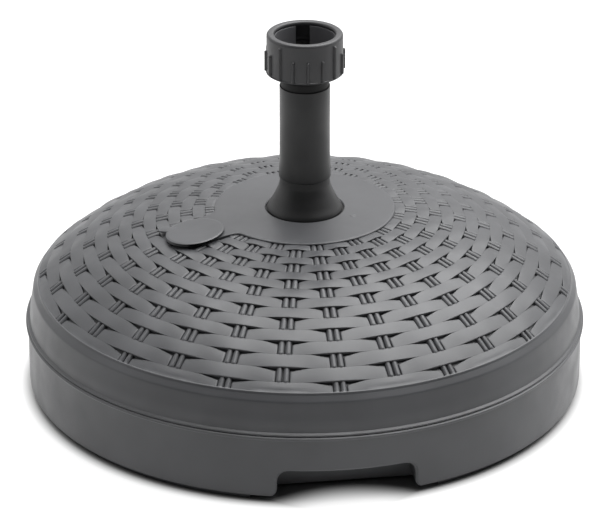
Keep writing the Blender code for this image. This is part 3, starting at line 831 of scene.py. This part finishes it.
def nut_ribs(azimuth, radius, height):
    """Sixteen grip ribs with round tops: every fourth one is long."""
    half, proud = 1.45, 1.9
    step = 2.0 * math.pi / 16
    place = (azimuth - math.radians(-48.5)) / step
    index = np.round(place).astype(int) % 4
    arc = np.abs(place - np.round(place)) * step * NUT_RADIUS
    top = np.where(index == 0, 325.2, 314.3) - half
    above = np.maximum(height - top, 0.0)
    below = np.maximum(NUT_BOTTOM + 2.2 - height, 0.0)
    distance = np.sqrt(arc**2 + above**2 + below**2)
    rib = proud * (1.0 - smoothstep(half * 0.5, half * 1.08, distance))
    on_wall = np.abs(radius - NUT_RADIUS) < 0.01
    return np.where(on_wall, radius + rib, radius), height


def make_nut(material):
    """The clamp nut: a rounded rim, grip ribs, and a thread in its cavity."""
    wall = [(NUT_RADIUS, height, 0.0) for height in np.arange(326.2, NUT_BOTTOM + 2.0, -0.45)]
    corners = [
        (NUT_MOUTH, NUT_TOP - 1.6, 0.8), (NUT_MOUTH + 0.9, NUT_TOP - 0.3, 0.8), (NUT_MOUTH + 2.2, NUT_TOP, 1.0),
        (NUT_RADIUS - 1.2, NUT_TOP, 1.8), (NUT_RADIUS, NUT_TOP - 1.8, 1.4), *wall,
        (NUT_RADIUS + 0.02, NUT_BOTTOM + 1.9, 0.0), (NUT_RADIUS + 0.7, NUT_BOTTOM + 1.5, 0.3),
        (NUT_RADIUS + 0.6, NUT_BOTTOM + 0.5, 0.4), (NUT_RADIUS - 0.4, NUT_BOTTOM, 0.4),
        (NUT_CAVITY + 0.4, NUT_BOTTOM, 0.4), (NUT_CAVITY, NUT_BOTTOM + 1.2, 0.3),
    ]
    corners += [(NUT_CAVITY, height, 0.0) for height in np.arange(NUT_BOTTOM + 2.0, 316.0, 0.5)]
    corners += [(NUT_CAVITY + 0.01, NUT_TOP - 3.5, 0.0), (NUT_MOUTH, NUT_TOP - 3.5, 0.3)]

    thread = threaded(NUT_BOTTOM + 2.0, 316.0, NUT_CAVITY, NUT_CAVITY - 0.4)

    def shape(azimuth, radius, height):
        return nut_ribs(azimuth, *thread(azimuth, radius, height))

    nut = turned("nut", rounded(corners), 480, shape)
    return settle(nut, "nut", material, ["clamp_nut"], 50.0)


# ---------------------------------------------------------------- stage, light and camera

def make_floor():
    """A pale floor that glows up to a painted contact shadow round the base, with painted light in the front
    hand hold's mouth, and fades out far behind.
    """
    floor = mesh_object("floor", [(-9000, -9000, 0), (9000, -9000, 0), (9000, 9000, 0), (-9000, 9000, 0)],
                        [(0, 1, 2, 3)])
    material = bpy.data.materials.new("pale_floor_painted_shadow")
    material.use_nodes = True
    shader = material.node_tree.nodes["Principled BSDF"]
    shader.inputs["Base Color"].default_value = FLOOR_COLOUR
    shader.inputs["Emission Color"].default_value = WHITE
    tree = material.node_tree
    place = tree.nodes.new("ShaderNodeTexCoord").outputs["Object"]

    def fade(centre, low, high, inner_glow, outer_glow):
        """A glow that changes between two distances from a centre."""
        distance = tree.nodes.new("ShaderNodeVectorMath")
        distance.operation = "DISTANCE"
        distance.inputs[1].default_value = centre
        tree.links.new(place, distance.inputs[0])
        return remapped(tree, distance.outputs["Value"], low, high, inner_glow, outer_glow, smooth=True)

    # Painted contact shadow round the base, with painted light back in the front hand hold's mouth.
    glow_past_painted_shadow = computed(tree, "MAXIMUM", fade(*SHADOW_FADE, 0.0, 1.0), fade(*HOLD_PAINTED_LIGHT_FADE, 1.0, 0.0))
    glow = computed(tree, "MULTIPLY", glow_past_painted_shadow, fade(*FAR_FADE, FLOOR_GLOW, FAR_FLOOR_GLOW))
    tree.links.new(glow, shader.inputs["Emission Strength"])
    shader.inputs["Roughness"].default_value = 0.9
    shader.inputs["Specular IOR Level"].default_value = 0.1
    floor.data.materials.append(material)


def make_world():
    """A white surround, dimmer in front of the base, with a soft box above. Seen directly it is plain white."""
    world = bpy.data.worlds.new("studio")
    bpy.context.scene.world = world
    world.use_nodes = True
    tree = world.node_tree
    nodes, links = tree.nodes, tree.links
    background = nodes["Background"]
    place = nodes.new("ShaderNodeTexCoord").outputs["Generated"]
    apart = nodes.new("ShaderNodeSeparateXYZ")
    links.new(place, apart.inputs["Vector"])

    side = remapped(tree, apart.outputs["Y"], FRONT_EDGE, SIDE_EDGE, FRONT_GLOW, SIDE_GLOW, smooth=True)
    facing = nodes.new("ShaderNodeVectorMath")
    facing.operation = "DOT_PRODUCT"
    facing.inputs[1].default_value = Vector(SOFTBOX_DIRECTION).normalized()
    links.new(place, facing.inputs[0])
    softbox = remapped(
        tree, facing.outputs["Value"], SOFTBOX_EDGE, SOFTBOX_CORE, 0.0, SOFTBOX_GLOW, smooth=True,
    )
    seen = nodes.new("ShaderNodeLightPath").outputs["Is Camera Ray"]
    blend = nodes.new("ShaderNodeMix")
    blend.data_type = "FLOAT"
    links.new(seen, blend.inputs["Factor"])
    links.new(computed(tree, "ADD", side, softbox), blend.inputs["A"])
    blend.inputs["B"].default_value = 1.0
    links.new(blend.outputs["Result"], background.inputs["Strength"])
    background.inputs["Color"].default_value = WHITE


def make_camera():
    """A long lens from a little to the left, looking down on the base."""
    rise = math.radians(CAMERA_ELEVATION)
    away = direction(CAMERA_AZIMUTH) * math.cos(rise) + Vector((0.0, 0.0, math.sin(rise)))
    place = Vector((0.0, 0.0, PIVOT_HEIGHT)) + away * CAMERA_DISTANCE
    right = Vector((0.0, 0.0, 1.0)).cross(away).normalized()
    aim = Vector((0.0, 0.0, AIM_HEIGHT)) - right * AIM_LEFT
    look = (aim - place).normalized()
    camera = bpy.data.cameras.new("camera")
    camera.sensor_width = 36.0
    camera.lens = LENS
    camera.clip_end = 100.0
    viewer = bpy.data.objects.new("camera", camera)
    bpy.context.scene.collection.objects.link(viewer)
    viewer.location = place
    viewer.rotation_mode = "QUATERNION"
    viewer.rotation_quaternion = (-look).to_track_quat("Z", "Y")
    bpy.context.scene.camera = viewer


CAP_FRAME = cap_frame()
bpy.context.scene.view_settings.view_transform = "Standard"

# The edge lightening in each material is partly scuffs and partly a painted highlight.
anthracite = moulded_plastic("anthracite", (0.052, 0.053, 0.0565), 0.40, specular=0.38)
black = moulded_plastic("black", (0.014, 0.014, 0.0145), 0.42, wear_and_highlight=0.15, specular=0.46)
charcoal = moulded_plastic("charcoal", (0.030, 0.030, 0.032), 0.42, wear_and_highlight=0.2)
grip_grey = moulded_plastic("grip_grey", (0.085, 0.085, 0.090), 0.42, wear_and_highlight=0.2)
# Darker neck plastic, darkened further as painted shade under the nut.
neck_black_and_painted_shade = moulded_plastic("neck_black_painted_shade", (0.008, 0.008, 0.008), 0.6, wear_and_highlight=0.05, specular=0.25)
rubber = moulded_plastic("rubber", (0.012, 0.012, 0.012), 0.75, grain=0.2, wear_and_highlight=0.05)

make_tank(anthracite)
make_lid(anthracite)
make_weave(anthracite)
make_plate(anthracite)
make_cap(anthracite, rubber)
make_foot(black)
make_tube(black, neck_black_and_painted_shade)
make_split_ring(grip_grey)
make_nut(charcoal)

for node_name, node_material in (
    ("foot_gasket", rubber), ("locknut_washer", rubber), ("foot_locknut", black),
):
    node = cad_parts[node_name]
    node.data.materials.clear()
    node.data.materials.append(node_material)
    shade(node)

make_floor()
make_world()
make_camera()
